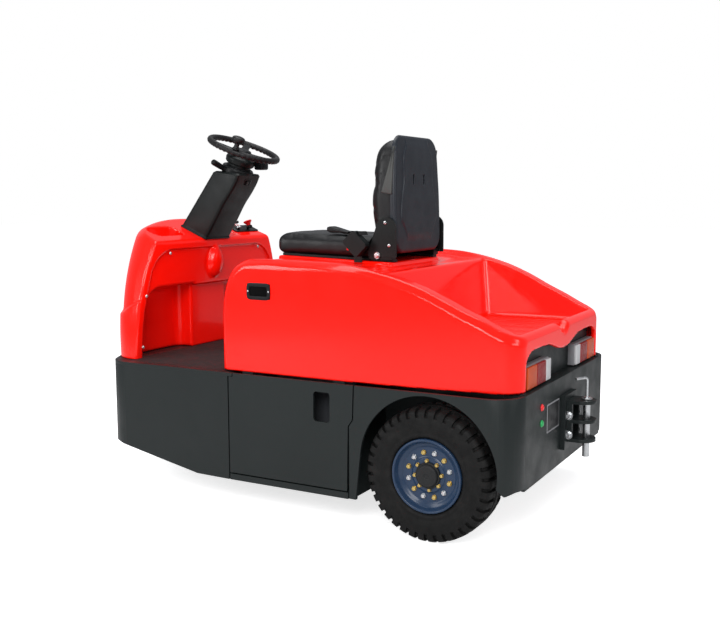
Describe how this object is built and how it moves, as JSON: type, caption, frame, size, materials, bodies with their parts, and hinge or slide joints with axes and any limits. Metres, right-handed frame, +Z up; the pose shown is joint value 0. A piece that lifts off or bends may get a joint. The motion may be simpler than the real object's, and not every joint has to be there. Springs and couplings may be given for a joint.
{
  "type": "seated tow tractor",
  "caption": "Electric baggage tug with a bowed steel frame, glossy moulded covers, a driver's seat on a tilting rear cover with a load tray, and a storeyed pin coupling at the tail.",
  "frame": {"origin": "on the ground under the middle of the whole machine", "axes": "+Z up, +Y towards the coupling at the tail, -Y towards the nose, +X to the driver's left"},
  "size_m": [1.091, 1.9, 1.3884],
  "materials": {
    "frame_paint": "satin",
    "cover_red": "gloss",
    "rim_paint": "satin",
    "dark_plastic": "matte",
    "seat_cloth": "matte",
    "seat_shell": "satin",
    "tyre": "matte",
    "grip": "matte",
    "cast_parts": "matte",
    "battery_case": "matte",
    "zinc": "satin",
    "clear_lens": "gloss",
    "amber_lens": "gloss",
    "stop_red": "gloss"
  },
  "bodies": {
    "chassis": {"nose_frame": "frame_paint", "side_plate_left": "frame_paint", "side_plate_right": "frame_paint", "rear_plate": "frame_paint", "deck_plate": "frame_paint", "battery_tray": "frame_paint", "frame_rails": "frame_paint", "bulkheads": "frame_paint", "battery_pack": "battery_case", "rear_axle": "cast_parts", "drive_motor": "cast_parts", "front_cowl": "cover_red", "head_lamps": "clear_lens", "steering_column": "dark_plastic", "column_head": "dark_plastic", "direction_lever": "dark_plastic", "control_panel": "dark_plastic", "stop_button": "stop_red", "key_switch": "zinc", "pedals": "dark_plastic", "lamp_panel": "frame_paint", "tail_lamps": "amber_lens", "hitch_frame": "frame_paint"},
    "door_left": {"door_left": "frame_paint"},
    "door_right": {"door_right": "frame_paint"},
    "rear_cover": {"rear_cover": "cover_red", "pull_handles": "dark_plastic", "seat_rails": "dark_plastic", "seat_cushion": "seat_cloth", "seat_back": "seat_cloth", "seat_shell": "seat_shell", "seat_hinges": "dark_plastic", "belt_reel": "dark_plastic", "belt_buckle": "dark_plastic"},
    "steer_head": {"steer_fork": "cast_parts"},
    "front_wheel": {"front_tyre": "tyre", "front_rim": "rim_paint"},
    "steering_wheel": {"steering_wheel": "grip", "spinner_knob": "grip"},
    "rear_wheel_left": {"rear_tyre_left": "tyre", "rear_rim_left": "rim_paint"},
    "rear_wheel_right": {"rear_tyre_right": "tyre", "rear_rim_right": "rim_paint"},
    "hitch_pin": {"hitch_pin": "zinc"}
  },
  "joints": [
    {"name": "steer", "type": "hinge", "parent": "chassis", "child": "steer_head", "pos_m": [0, -0.665, 0.41], "axis": [0, 0, 1], "range_deg": [-80, 80]},
    {"name": "steering_wheel_turn", "type": "hinge", "parent": "chassis", "child": "steering_wheel", "pos_m": [0, -0.542, 1.323], "axis": [0, 0.3665, 0.9304], "range_deg": [-360, 360]},
    {"name": "front_wheel_roll", "type": "hinge", "parent": "steer_head", "child": "front_wheel", "pos_m": [0, -0.665, 0.19], "axis": [1, 0, 0], "continuous": true},
    {"name": "rear_wheel_left_roll", "type": "hinge", "parent": "chassis", "child": "rear_wheel_left", "pos_m": [0.466, 0.545, 0.225], "axis": [1, 0, 0], "continuous": true},
    {"name": "rear_wheel_right_roll", "type": "hinge", "parent": "chassis", "child": "rear_wheel_right", "pos_m": [-0.466, 0.545, 0.225], "axis": [1, 0, 0], "continuous": true},
    {"name": "door_left_hinge", "type": "hinge", "parent": "chassis", "child": "door_left", "pos_m": [0.5415, -0.23, 0.318], "axis": [0, 0, -1], "range_deg": [0, 110]},
    {"name": "door_right_hinge", "type": "hinge", "parent": "chassis", "child": "door_right", "pos_m": [-0.5415, -0.23, 0.318], "axis": [0, 0, 1], "range_deg": [0, 110]},
    {"name": "cover_hinge", "type": "hinge", "parent": "chassis", "child": "rear_cover", "pos_m": [0, 0.833, 0.506], "axis": [-1, 0, 0], "range_deg": [0, 40]},
    {"name": "hitch_pin_lift", "type": "slide", "parent": "chassis", "child": "hitch_pin", "axis": [0, 0, -1], "range_m": [-0.2, 0]}
  ],
  "couplings": [
    {"joint": "steering_wheel_turn", "follows": "steer", "ratio": 4.5}
  ]
}
